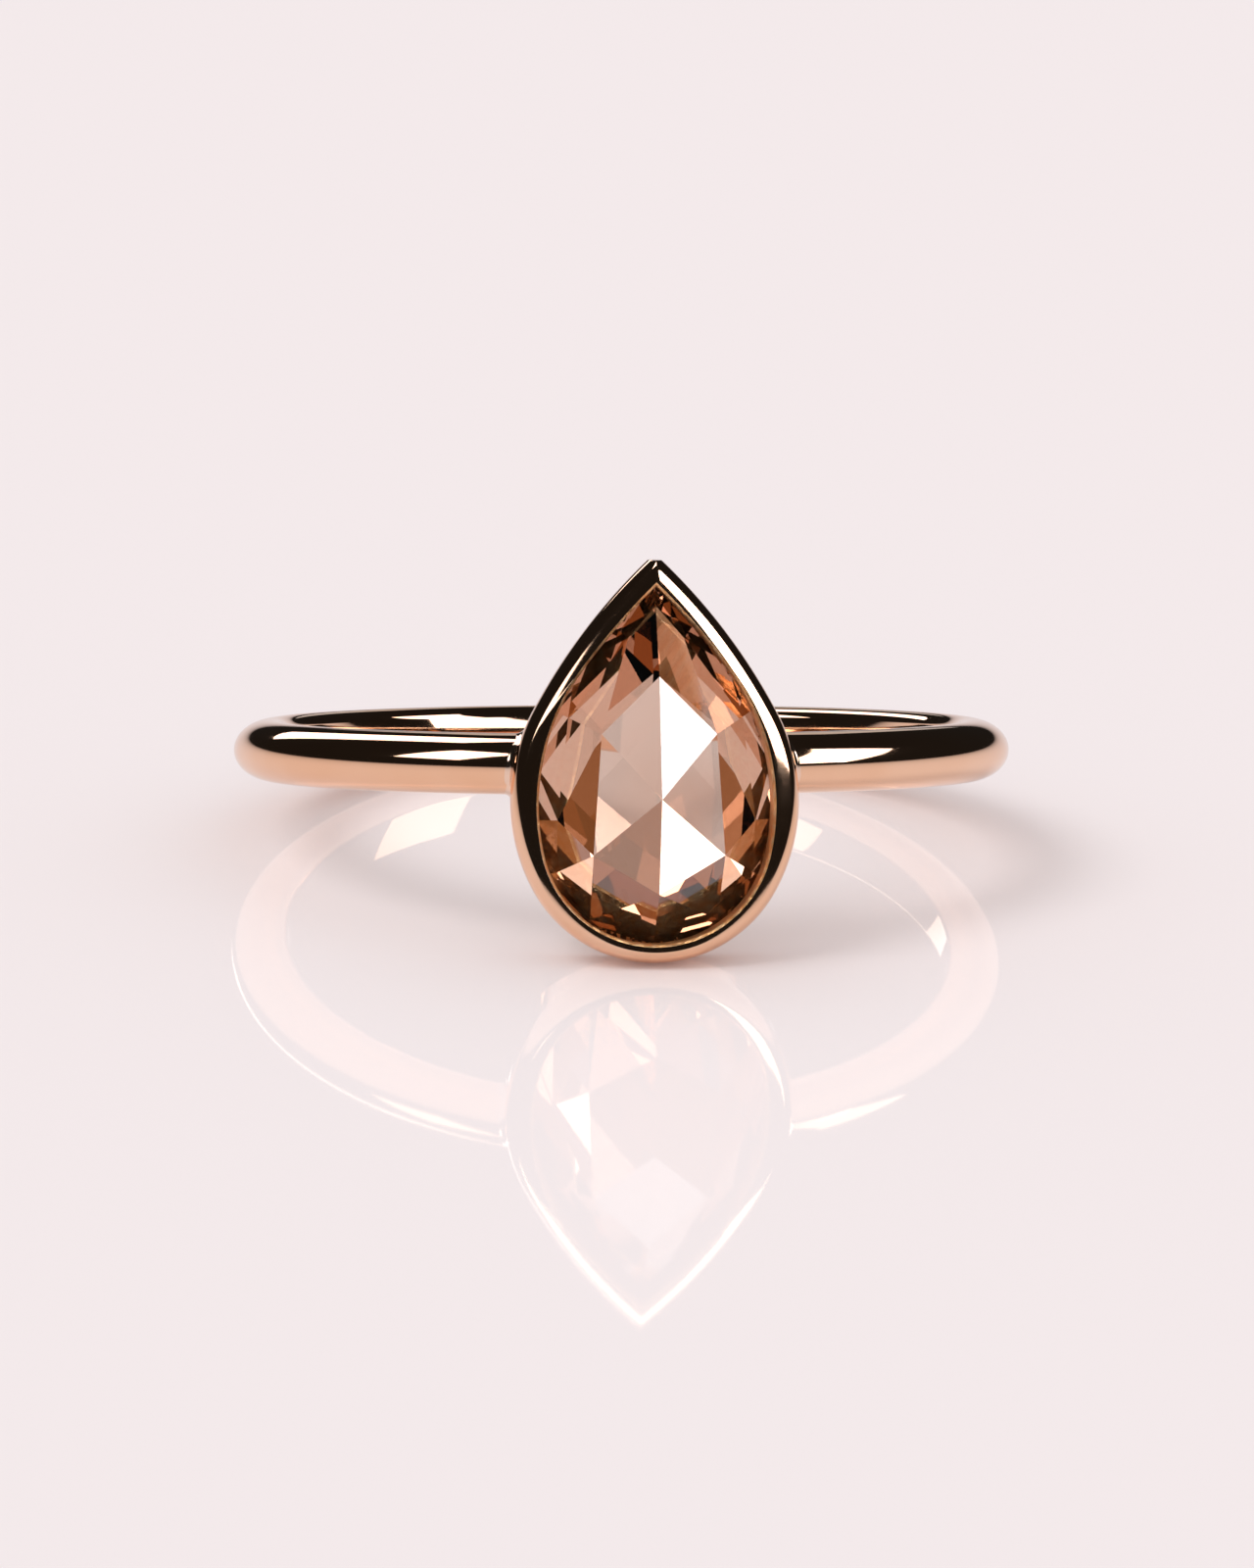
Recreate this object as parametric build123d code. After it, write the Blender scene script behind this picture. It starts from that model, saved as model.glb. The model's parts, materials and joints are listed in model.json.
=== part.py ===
from build123d import *

import os
from math import atan2, cos, pi, radians, sin, sqrt, tan

# A bezel-set ring with one pear-shaped rose-cut stone. Lengths are in millimetres, angles in degrees.
# The ring is drawn with the finger hole along Z and the stone facing -Y, and is then leaned back
# about X until it rests on a table, on the bezel's foot and the back of the shank. The origin stays
# at the centre of the finger hole.

# Shank: one bent wire, domed outside and straight where it bears on the finger.
FINGER_HOLE_DIAMETER = 16.5
SHANK_WIDTH = 1.5  # along the finger
SHANK_THICKNESS = 1.4  # from the finger outwards
SHANK_DOME_DEPTH = 0.95  # how much of the thickness is the domed outer half
SHANK_FLAT_WIDTH = 0.9  # the straight part of the inner face

# Stone: a pear outline of three arcs a side, with a flat base and a rose-cut crown. The angles say
# which way the outline faces, above or below straight sideways, where one arc gives way to the next.
STONE_LENGTH = 9.02
STONE_WIDTH = 5.97
STONE_LOW_ANGLE = -12.2  # from the foot's arc to the side's
STONE_HIGH_ANGLE = 36.5  # from the side's arc to the tip's
STONE_TIP_ANGLE = 46.2  # at the point
STONE_FOOT_DROP = 4.46  # from the middle of the shank down to the stone's foot
GIRDLE_THICKNESS = 0.15
BELT_ANGLE = 66.0  # how steep the belt of facets next to the girdle is
CROWN_HEIGHT = 2.05  # from the girdle up to the six corners of the star
STAR_HEIGHT = 0.77  # from the star's corners up to its middle
# The star's middle and corners, in shares of the stone's half width and of its length.
STAR_MIDDLE = 0.4124  # up from the stone's foot
STAR_CORNERS = [(0.0, 0.329), (0.472, 0.174), (0.539, -0.154), (0.0, -0.26)]
# The crown's outer corners: the arc each one follows, what share of it lies below the corner, and
# how far in from the girdle the corner is.
CROWN_CORNERS = [
    ("foot", 0.0, 0.31),
    ("foot", 0.45, 0.2),
    ("foot", 0.85, 0.3),
    ("side", 0.17, 0.55),
    ("side", 0.74, 0.4),
    ("tip", 0.46, 0.49),
]
CROWN_TIP_INSET = 0.46

# Bezel: a wall about the stone, domed at the rim, with its own outline so that it is thinnest at
# the foot and widest at the sides.
RIM_OVERLAP = 0.11  # how far the rim reaches over the stone's edge
RIM_TO_GIRDLE = 1.25
RIM_BRIGHT_CUT = 0.06  # bevel along the rim's inner edge
WALL_AT_FOOT = 0.36
WALL_AT_SIDE = 0.55
WALL_AT_TIP = 0.62  # measured along the mitre
WALL_LOW_ANGLE = -28.5
WALL_HIGH_ANGLE = 28.0
WALL_TIP_BLUNTER = 1.24  # how much more its point faces up than the stone's
WALL_SPAN_ANGLE = 40.0  # how far round the finger the wall's inside reaches
TIP_FLAT = 0.16  # filed off the mitre's point
DOME_WIDTH = 0.36
DOME_DEPTH = 0.55
TUCK_WIDTH = 0.14  # how far the wall draws in below its belly
TUCK_DEPTH = 0.6
STONE_CLEARANCE = 0.01

# Underside: it clears the finger, more so towards the foot and the tip than under the shank.
SADDLE_CLEARANCE = 0.12
SADDLE_RELIEF = 0.12

# Bearing: a strip inside the wall that carries the stone's flat base.
BEARING_WIDTH = 0.55
BEARING_END_HEIGHT = 0.06  # what is left of it where the saddle cuts deepest

# Solder: a small bead about each end of the shank.
SOLDER_REACH = 0.2  # along the shank
SOLDER_SWELL = 0.12  # out from the shank
SOLDER_CLEARANCE = 0.02  # short of the finger hole

OVERSHOOT = 1.0  # how far a cutting shape passes the faces that it cuts

HOLE_RADIUS = FINGER_HOLE_DIAMETER / 2
STONE_BASE = RIM_TO_GIRDLE + GIRDLE_THICKNESS  # below the rim
RIM_HEIGHT = HOLE_RADIUS + SADDLE_CLEARANCE + SADDLE_RELIEF + BEARING_END_HEIGHT + STONE_BASE
WALL_REACH = RIM_HEIGHT - HOLE_RADIUS * cos(radians(WALL_SPAN_ANGLE))
WALL_THICKEST = max(WALL_AT_FOOT, WALL_AT_SIDE, WALL_AT_TIP)
SADDLE_SPAN = STONE_LENGTH / 2 + WALL_AT_FOOT + WALL_AT_TIP


class Pear:
    """An outline with its foot down: arcs for the foot, the sides and the tip, each tangent to the next."""

    def __init__(self, length, width, foot, *angles):
        low, high, tip = (radians(angle) for angle in angles)
        half = width / 2
        # The height that each end's arc gains for each unit of width that it takes up.
        foot_slope = (1 + sin(low)) / cos(low)
        tip_slope = (sin(tip) - sin(high)) / (cos(high) - cos(tip))
        ends = (1 - cos(low)) * foot_slope + (1 - cos(high)) * tip_slope
        side_radius = (length - half * (foot_slope + tip_slope)) / (sin(high) - sin(low) - ends)
        foot_radius = (half - side_radius * (1 - cos(low))) / cos(low)
        tip_radius = (half - side_radius * (1 - cos(high))) / (cos(high) - cos(tip))
        side_x, side_z = half - side_radius, foot + foot_radius + (foot_radius - side_radius) * sin(low)
        tip_x, tip_z = (
            side_x + (side_radius - tip_radius) * cos(high),
            side_z + (side_radius - tip_radius) * sin(high),
        )
        self.arcs = {
            "foot": (0.0, foot + foot_radius, foot_radius),
            "side": (side_x, side_z, side_radius),
            "tip": (tip_x, tip_z, tip_radius),
        }
        self.ends = {"foot": (-pi / 2, low), "side": (low, high)}

    def span(self, arc, offset):
        """The angles at which an arc of the right half starts and ends."""
        if arc != "tip":
            return self.ends[arc]
        x, z, _ = self.arcs["tip"]
        return (self.ends["side"][1], atan2(self.tip(offset) - z, -x))

    def angle(self, arc, share):
        start, end = self.span(arc, 0.0)
        return start + share * (end - start)

    def point(self, arc, angle, offset):
        """A point of the right half, at this angle about the named arc's centre."""
        x, z, radius = self.arcs[arc]
        return (x + (radius + offset) * cos(angle), z + (radius + offset) * sin(angle))

    def tip(self, offset):
        x, z, radius = self.arcs["tip"]
        return z + sqrt((radius + offset) ** 2 - x**2)

    def foot(self, offset):
        _, z, radius = self.arcs["foot"]
        return z - radius - offset

    def wire(self, offset, depth):
        """The outline, grown by offset, as a closed wire in the plane at this depth below the rim."""
        y = depth - RIM_HEIGHT
        right, left = [], []
        for arc in self.arcs:
            start, end = self.span(arc, offset)
            ends = [self.point(arc, angle, offset) for angle in (start, (start + end) / 2, end)]
            right.append(ThreePointArc(*[(x, y, z) for x, z in ends]))
            left.insert(0, ThreePointArc(*[(-x, y, z) for x, z in reversed(ends)]))
        return Wire([arc.edge() for arc in right + left])

    def prism(self, offset, top, bottom):
        """The outline, grown by offset, filled from one depth below the rim to another."""
        return extrude(Face(self.wire(offset, top)), amount=bottom - top, dir=(0, 1, 0))


STONE_PEAR = Pear(
    STONE_LENGTH,
    STONE_WIDTH,
    -STONE_FOOT_DROP,
    STONE_LOW_ANGLE,
    STONE_HIGH_ANGLE,
    STONE_TIP_ANGLE,
)
WALL_PEAR = Pear(
    STONE_LENGTH + WALL_AT_FOOT + WALL_AT_TIP,
    STONE_WIDTH + 2 * WALL_AT_SIDE,
    -STONE_FOOT_DROP - WALL_AT_FOOT,
    WALL_LOW_ANGLE,
    WALL_HIGH_ANGLE,
    STONE_TIP_ANGLE + WALL_TIP_BLUNTER,
)


def outside_finger(shape, clearance):
    """What is left of a shape outside a plain cylinder a clearance away from the finger hole."""
    return shape - Cylinder(HOLE_RADIUS + clearance, 2 * STONE_LENGTH)


def shank_section(swell):
    """The wire's cross-section at +X, grown outwards by swell."""
    inner, middle = HOLE_RADIUS - swell, HOLE_RADIUS + SHANK_THICKNESS - SHANK_DOME_DEPTH
    half, flat = SHANK_WIDTH / 2 + swell, SHANK_FLAT_WIDTH / 2
    dome = EllipticalCenterArc((middle, 0), SHANK_DOME_DEPTH + swell, half, -90, arc_size=180)
    high = EllipticalCenterArc((middle, flat), middle - inner, half - flat, 90, arc_size=90)
    low = EllipticalCenterArc((middle, -flat), middle - inner, half - flat, 180, arc_size=90)
    face = Line((inner, flat), (inner, -flat))
    return Plane.XZ * make_face([dome, high, low, face])


def wall_ring(swell):
    """The wall's domed and tucked profile, grown outwards by swell, carried round its outline."""
    inner, top, bottom = -2 * WALL_THICKEST, -RIM_HEIGHT, WALL_REACH - RIM_HEIGHT
    belly, tuck = top + DOME_DEPTH, top + DOME_DEPTH + TUCK_DEPTH
    foot = WALL_PEAR.foot(0.0)

    def at(offset, y):
        return (y, foot - offset)

    dome = EllipticalCenterArc(at(swell - DOME_WIDTH, belly), DOME_DEPTH, DOME_WIDTH, 180, arc_size=90)
    waist = EllipticalCenterArc(at(swell - TUCK_WIDTH, belly), TUCK_DEPTH, TUCK_WIDTH, 270, arc_size=90)
    outline = [
        dome,
        waist,
        Line(at(swell - TUCK_WIDTH, tuck), at(swell - TUCK_WIDTH, bottom)),
        Line(at(swell - TUCK_WIDTH, bottom), at(inner, bottom)),
        Line(at(inner, bottom), at(inner, top)),
        Line(at(inner, top), at(swell - DOME_WIDTH, top)),
    ]
    section = Plane.YZ * make_face(outline)
    return sweep(section, path=WALL_PEAR.wire(0.0, 0.0), transition=Transition.RIGHT)


def head_body(swell):
    """The wall's outside, filled right through, before the underside is hollowed for the finger."""
    return wall_ring(swell) + STONE_PEAR.prism(0.0, 0.0, WALL_REACH)


def saddle_radius(z):
    """How far the underside is from the middle of the finger hole, on an arc that is nearest at z = 0."""
    swell = (SADDLE_SPAN**2 + SADDLE_RELIEF**2) / (2 * SADDLE_RELIEF)
    return HOLE_RADIUS + SADDLE_CLEARANCE + swell - sqrt(swell**2 - z**2)


def saddle():
    """The finger with its swell above and below the ring, which the underside clears."""
    waist, end = saddle_radius(0), saddle_radius(SADDLE_SPAN)
    side = ThreePointArc((end, -SADDLE_SPAN), (waist, 0), (end, SADDLE_SPAN))
    outline = Polyline((end, SADDLE_SPAN), (0, SADDLE_SPAN), (0, -SADDLE_SPAN), (end, -SADDLE_SPAN))
    return revolve(Plane.XZ * make_face([side, outline]), Axis.Z)


def make_shank():
    """The wire round the finger, its two ends dressed to the bezel's sides."""
    hoop = revolve(shank_section(0.0), Axis.Z) - head_body(0.0)
    return max(hoop.solids(), key=lambda solid: solid.volume)


def make_bezel(stone):
    """The wall, open front and back, its rim burnished down over the stone's belt."""
    wall = wall_ring(0.0) - STONE_PEAR.prism(-RIM_OVERLAP, -OVERSHOOT, WALL_REACH + OVERSHOOT)
    rim = wall.faces().sort_by(Axis.Y)[0]
    wall = chamfer(rim.inner_wires()[0].edges(), RIM_BRIGHT_CUT)
    wall -= STONE_PEAR.prism(STONE_CLEARANCE, RIM_TO_GIRDLE, WALL_REACH + OVERSHOOT)
    wall -= stone
    wall -= saddle()
    tip = Pos(0, -RIM_HEIGHT, WALL_PEAR.tip(0.0) - TIP_FLAT + OVERSHOOT)
    return wall - tip * Box(STONE_WIDTH, 4 * WALL_REACH, 2 * OVERSHOOT)


def make_bearing():
    """The strip inside the wall that the stone's base stands on."""
    outside = STONE_PEAR.prism(STONE_CLEARANCE, STONE_BASE, WALL_REACH)
    inside = STONE_PEAR.prism(-BEARING_WIDTH, STONE_BASE - OVERSHOOT, WALL_REACH + OVERSHOOT)
    return outside - inside - saddle()


def make_solder(side):
    """The bead where one end of the shank meets the bezel, on the +X or the -X side."""
    band = revolve(shank_section(SOLDER_SWELL), Axis.Z) & head_body(SOLDER_REACH)
    bead = band - head_body(0.0) - revolve(shank_section(0.0), Axis.Z)
    bead = outside_finger(bead, SOLDER_CLEARANCE)
    near = [solid for solid in bead.solids() if solid.center().X * side > 0 and solid.center().Y < 0]
    return max(near, key=lambda solid: solid.volume)


def facet(*corners):
    return Face(Wire.make_polygon(corners, close=True))


def mirrored(points):
    """A whole ring of points from its right half, which starts at the foot and ends at the tip."""
    return points + [(-x, y, z) for x, y, z in points[-2:0:-1]]


def girdle_points():
    """Points of the stone's right outline, one beside each corner of the crown and one between."""
    ends = [(arc, share) for arc, share, _ in CROWN_CORNERS] + [("tip", 1.0)]
    places = [ends[0]]
    for (arc, share), (next_arc, next_share) in zip(ends, ends[1:]):
        between = (share + next_share) / 2 if arc == next_arc else 1.0
        places += [(arc, between), (next_arc, next_share)]
    return [STONE_PEAR.point(arc, STONE_PEAR.angle(arc, share), 0.0) for arc, share in places]


def make_stone():
    """The rose-cut pear: a flat base, a girdle, a steep belt, a ring of facets and a six-rayed star."""
    middle = STONE_PEAR.foot(0.0) + STAR_MIDDLE * STONE_LENGTH
    edge = RIM_TO_GIRDLE - RIM_HEIGHT
    peak = (0.0, edge - CROWN_HEIGHT - STAR_HEIGHT, middle)
    star = mirrored([
        (x * STONE_WIDTH / 2, edge - CROWN_HEIGHT, middle + z * STONE_LENGTH)
        for x, z in reversed(STAR_CORNERS)
    ])
    corners = [
        (*STONE_PEAR.point(arc, STONE_PEAR.angle(arc, share), -inset), inset)
        for arc, share, inset in CROWN_CORNERS
    ]
    corners.append((0.0, STONE_PEAR.tip(-CROWN_TIP_INSET), CROWN_TIP_INSET))
    slope = tan(radians(BELT_ANGLE))
    crown = mirrored([(x, edge - inset * slope, z) for x, z, inset in corners])
    girdle = mirrored([(x, edge, z) for x, z in girdle_points()])
    base = [(x, edge + GIRDLE_THICKNESS, z) for x, _, z in girdle]
    facets = [facet(*base)]
    for i, corner in enumerate(star):
        after = star[(i + 1) % len(star)]
        before, beside, beyond = (crown[(2 * i + step) % len(crown)] for step in (-1, 0, 1))
        facets.append(facet(peak, corner, after))
        facets.append(facet(corner, beyond, after))
        facets.append(facet(corner, before, beside))
        facets.append(facet(corner, beside, beyond))
    for i, corner in enumerate(crown):
        before, beside, beyond = (girdle[(2 * i + step) % len(girdle)] for step in (-1, 0, 1))
        facets.append(facet(corner, before, beside))
        facets.append(facet(corner, beside, beyond))
        facets.append(facet(corner, beyond, crown[(i + 1) % len(crown)]))
    for i, corner in enumerate(girdle):
        j = (i + 1) % len(girdle)
        facets.append(facet(corner, base[i], base[j], girdle[j]))
    return Solid(Shell(facets))


def support(profiles, lean):
    """How far the profiles, each (y, z, y radius, z radius), reach towards the table at this lean."""
    y, z = sin(radians(lean)), -cos(radians(lean))
    return max(cy * y + cz * z + sqrt((ry * y) ** 2 + (rz * z) ** 2) for cy, cz, ry, rz in profiles)


def rest(steepest=45.0, halvings=50):
    """The lean at which the bezel's foot and the back of the shank both touch a table, and its height."""
    heel = WALL_PEAR.foot(-TUCK_WIDTH)
    foot = [
        (DOME_DEPTH - RIM_HEIGHT, heel, TUCK_DEPTH, TUCK_WIDTH),
        (-saddle_radius(heel), heel, 0.0, 0.0),
    ]
    back = [(HOLE_RADIUS + SHANK_THICKNESS - SHANK_DOME_DEPTH, 0.0, SHANK_DOME_DEPTH, SHANK_WIDTH / 2)]
    low, high = 0.0, steepest
    for _ in range(halvings):
        lean = (low + high) / 2
        if support(foot, lean) > support(back, lean):
            low = lean
        else:
            high = lean
    return lean, support(back, lean)


stone = make_stone()
parts = {
    "shank": make_shank(),
    "bezel_wall": make_bezel(stone),
    "bearing_strip": make_bearing(),
    "stone": stone,
    "solder_bead_right": make_solder(1),
    "solder_bead_left": make_solder(-1),
}
lean, drop = rest()
print("lean", round(lean, 3), "table at z", round(-drop, 4))
os.makedirs("parts", exist_ok=True)
for name, shape in parts.items():
    shape = shape.rotate(Axis.X, -lean)
    shape.label = name
    export_step(shape, f"parts/{name}.step")
    print(name, "volume", round(shape.volume, 3), "valid", shape.is_valid)
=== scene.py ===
# %% [markdown]
# # A bezel-set ring with a pear-shaped rose-cut stone
# The frame holds the ring's six pieces at their real size. This lesson builds a finer, polished
# copy of each one with bmesh operators, gives each a procedural finish, and lights the ring as a
# jeweller's studio would. Lengths are in millimetres until a piece is finished, and then metres.

# %% Bring in the frame
import json
from math import asin, atan2, cos, hypot, pi, radians, sin, sqrt, tan

import bmesh
import bpy
from mathutils import Matrix, Vector


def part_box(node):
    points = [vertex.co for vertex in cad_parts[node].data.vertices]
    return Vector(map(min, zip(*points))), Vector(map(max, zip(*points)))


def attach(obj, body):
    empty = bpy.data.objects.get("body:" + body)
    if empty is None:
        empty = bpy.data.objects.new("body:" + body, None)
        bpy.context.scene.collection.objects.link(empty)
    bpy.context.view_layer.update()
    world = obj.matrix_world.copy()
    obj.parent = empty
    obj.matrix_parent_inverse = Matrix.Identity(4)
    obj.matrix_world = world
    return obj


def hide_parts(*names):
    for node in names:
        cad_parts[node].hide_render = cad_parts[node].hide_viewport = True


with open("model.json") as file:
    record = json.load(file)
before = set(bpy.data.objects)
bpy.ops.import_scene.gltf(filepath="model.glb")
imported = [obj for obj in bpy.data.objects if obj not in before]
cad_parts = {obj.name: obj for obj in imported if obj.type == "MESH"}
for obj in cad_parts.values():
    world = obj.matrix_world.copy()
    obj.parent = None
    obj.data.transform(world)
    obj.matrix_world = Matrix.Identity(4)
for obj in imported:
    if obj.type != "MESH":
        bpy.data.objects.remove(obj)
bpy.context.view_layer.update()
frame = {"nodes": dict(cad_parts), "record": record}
print("nodes:", sorted(frame["nodes"]))

# %% [markdown]
# ## Where the ring stands
# The record's finger hole says how wide the hole is and how far the ring leans back on the table.
# Every piece is drawn upright, with the hole along Z and the stone facing -Y, and is leaned back
# only when it is finished. The shank is then a plain shape turned about Z.

# %% The hole, the lean and the table
MM = 0.001
hole = next(mount for mount in frame["record"]["mounts"] if mount["name"] == "finger_hole")
HOLE_RADIUS = hole["dims"]["r_mm"]
LEAN = atan2(hole["axis"][1], hole["axis"][2])
TABLE = min(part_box(node)[0].z for node in frame["nodes"])
LEAN_BACK = Matrix.Rotation(-LEAN, 4, "X") @ Matrix.Scale(MM, 4)
print(f"hole radius {HOLE_RADIUS} mm, table at {TABLE / MM:.3f} mm")

# %% [markdown]
# ## A helper for every piece
# bmesh leaves a piece as loose geometry. This helper closes the job: it merges doubles, turns the
# faces outwards, smooths what is round and keeps what is sharp, leans the piece back with the ring,
# hangs it from the root body and hides the CAD node it stands for.

# %% Finish a piece
MERGE = 1e-5  # points nearer to each other than this become one
ROUND = 35.0  # faces that meet at less than this many degrees are smoothed over


def finish_piece(bm, name, node, slot, crease=ROUND):
    bmesh.ops.remove_doubles(bm, verts=bm.verts, dist=MERGE)
    bmesh.ops.recalc_face_normals(bm, faces=bm.faces)
    for face in bm.faces:
        face.smooth = True
    for edge in bm.edges:
        edge.smooth = edge.is_manifold and edge.calc_face_angle(pi) < radians(crease)
    bmesh.ops.transform(bm, matrix=LEAN_BACK, verts=bm.verts)
    mesh = bpy.data.meshes.new(name)
    bm.to_mesh(mesh)
    bm.free()
    piece = bpy.data.objects.new(name, mesh)
    bpy.context.scene.collection.objects.link(piece)
    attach(piece, "root")
    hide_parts(node)
    print(name, len(mesh.polygons), "faces")
    return piece

# %% [markdown]
# ## The two pear outlines
# A jeweller draws a pear from three arcs a side: a round foot, a long side and a tip that meets its
# mirror image in a point. The stone and the wall about it are both pears, but the wall is thinner
# at the foot than at the tip, so each has its own arcs. A curve object could draw them. Spinning
# one vertex about each arc's centre keeps every outline at the same number of points, and any two
# of them can then be bridged.

# %% The pear
RIM = 9.95  # the rim's height above the middle of the finger hole
STONE_LENGTH, STONE_WIDTH, STONE_FOOT = 9.02, 5.97, -4.46
STONE_ANGLES = (-12.2, 36.5, 46.2)  # where the foot ends, the tip begins and the tip ends
WALL_FOOT, WALL_SIDE, WALL_TIP = 0.36, 0.55, 0.62
WALL_ANGLES = (-28.5, 28.0, 47.44)
ARC_STEPS = {"foot": 40, "side": 30, "tip": 28}
TINY = 1e-6  # nearer to the middle plane than this is on it


class Pear:
    """Arcs for the foot, a side and the tip, each tangent to the next, in the plane of X and Z."""

    def __init__(self, length, width, foot, angles):
        low, high, tip = (radians(angle) for angle in angles)
        half = width / 2
        foot_slope = (1 + sin(low)) / cos(low)
        tip_slope = (sin(tip) - sin(high)) / (cos(high) - cos(tip))
        ends = (1 - cos(low)) * foot_slope + (1 - cos(high)) * tip_slope
        rise = sin(high) - sin(low)
        side_radius = (length - half * (foot_slope + tip_slope)) / (rise - ends)
        foot_radius = (half - side_radius * (1 - cos(low))) / cos(low)
        tip_radius = (half - side_radius * (1 - cos(high))) / (cos(high) - cos(tip))
        middle = foot + foot_radius
        side = (half - side_radius, middle + (foot_radius - side_radius) * sin(low))
        step = side_radius - tip_radius
        point = [centre + step * way for centre, way in zip(side, (cos(high), sin(high)))]
        self.arcs = {
            "foot": (0.0, middle, foot_radius),
            "side": (*side, side_radius),
            "tip": (*point, tip_radius),
        }
        self.ends = {"foot": (-pi / 2, low), "side": (low, high)}

    def span(self, arc, offset=0.0):
        if arc != "tip":
            return self.ends[arc]
        x, _, radius = self.arcs["tip"]
        return self.ends["side"][1], atan2(sqrt((radius + offset) ** 2 - x * x), -x)

    def point(self, arc, share, inset=0.0):
        """A point of the right half, this share of the way along an arc."""
        x, z, radius = self.arcs[arc]
        start, end = self.span(arc)
        angle = start + share * (end - start)
        return x + (radius - inset) * cos(angle), z + (radius - inset) * sin(angle)

    def tip(self, offset=0.0):
        x, z, radius = self.arcs["tip"]
        return z + sqrt((radius + offset) ** 2 - x * x)

    def side_at(self, z, offset):
        """How far out the side's arc is at this height."""
        x, middle, radius = self.arcs["side"]
        return x + sqrt((radius + offset) ** 2 - (z - middle) ** 2)

    def loop(self, bm, offset, depth):
        """The outline grown by offset, as a closed loop of edges this far below the rim."""
        y, known = depth - RIM, {*bm.verts, *bm.edges}
        _, z, radius = self.arcs["foot"]
        vert = bm.verts.new((0.0, y, z - radius - offset))
        for arc, steps in ARC_STEPS.items():
            x, z, _ = self.arcs[arc]
            start, end = self.span(arc, offset)
            last = bmesh.ops.spin(
                bm, geom=[vert], cent=(x, y, z), axis=(0, -1, 0), angle=end - start, steps=steps
            )
            vert = next(item for item in last["geom_last"] if isinstance(item, bmesh.types.BMVert))
        vert.co.x = 0.0
        half = [item for item in (*bm.verts, *bm.edges) if item not in known]
        bmesh.ops.mirror(bm, geom=half, axis="X", merge_dist=TINY)
        return [edge for edge in bm.edges if edge not in known]


STONE = Pear(STONE_LENGTH, STONE_WIDTH, STONE_FOOT, STONE_ANGLES)
wall_length, wall_width = STONE_LENGTH + WALL_FOOT + WALL_TIP, STONE_WIDTH + 2 * WALL_SIDE
WALL = Pear(wall_length, wall_width, STONE_FOOT - WALL_FOOT, WALL_ANGLES)
print("stone arcs", {arc: round(radius, 2) for arc, (_, _, radius) in STONE.arcs.items()})
print("wall arcs", {arc: round(radius, 2) for arc, (_, _, radius) in WALL.arcs.items()})

# %% [markdown]
# ## The shank
# The real shank is a length of wire, domed outside and nearly straight where it bears on the
# finger, bent into a hoop. A curve with a bevel profile would do, but its ends have to be dressed
# to the bezel's curved sides. So one circle is pushed into the wire's section, spun round most of
# the hoop, and its two open ends are then drawn out, a little at a time, until they meet the wall.

# %% The wall's outside, which the shank meets
DOME_WIDTH, DOME_DEPTH = 0.29, 0.55
TUCK_WIDTH, TUCK_DEPTH = 0.14, 0.6
FIRST_GUESS, GUESSES = radians(20.0), 30


def wall_offset(depth):
    """How far the wall stands out from its outline at this depth: a dome, then a gentle tuck."""
    if depth < DOME_DEPTH:
        return DOME_WIDTH * (sqrt(max(0.0, 1 - (1 - depth / DOME_DEPTH) ** 2)) - 1)
    into = min(1.0, (depth - DOME_DEPTH) / TUCK_DEPTH)
    return TUCK_WIDTH * (sqrt(1 - into * into) - 1)


def meeting_angle(radius, z):
    """The angle from the middle of the head at which a point of the hoop reaches the wall."""
    angle = FIRST_GUESS
    for _ in range(GUESSES):
        angle = asin(WALL.side_at(z, wall_offset(RIM - radius * cos(angle))) / radius)
    return angle


meeting = meeting_angle(HOLE_RADIUS, 0.0)
print(f"the hoop's inside reaches the wall at {meeting * 180 / pi:.1f} degrees")

# %% The wire's section and the hoop
SHANK_WIDTH, SHANK_THICKNESS = 1.5, 1.4
SHANK_DOME, SHANK_FLAT = 0.95, 0.9
SECTION_STEPS, HOOP_STEPS, END_STEPS = 80, 288, 10
HOOP_GAP = radians(28.0)  # where the plain hoop stops, either side of the head
BURIED = 0.12  # how far the ends run on inside the wall


def section(bm, swell=0.0):
    """A loop of the wire's section at +X, grown by swell everywhere but towards the finger."""
    loop = bmesh.ops.create_circle(bm, segments=SECTION_STEPS, radius=1.0)["verts"]
    bmesh.ops.rotate(bm, verts=loop, matrix=Matrix.Rotation(pi / 2, 3, "X"))
    middle = HOLE_RADIUS + SHANK_THICKNESS - SHANK_DOME
    for vert in loop:
        x, z = vert.co.x, vert.co.z
        if x > TINY:
            vert.co = (middle + x * (SHANK_DOME + swell), 0.0, z * (SHANK_WIDTH / 2 + swell))
            continue
        round_part = (SHANK_WIDTH - SHANK_FLAT) / 2 + swell
        straight = SHANK_FLAT / 2 * ((z > TINY) - (z < -TINY))
        vert.co = (middle + x * (middle - HOLE_RADIUS), 0.0, z * round_part + straight)
    return loop


def stand(vert, radius, angle, side):
    """Puts a point on the hoop at this angle from the head, on the +X or -X side."""
    vert.co.x, vert.co.y = side * radius * sin(angle), -radius * cos(angle)


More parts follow.
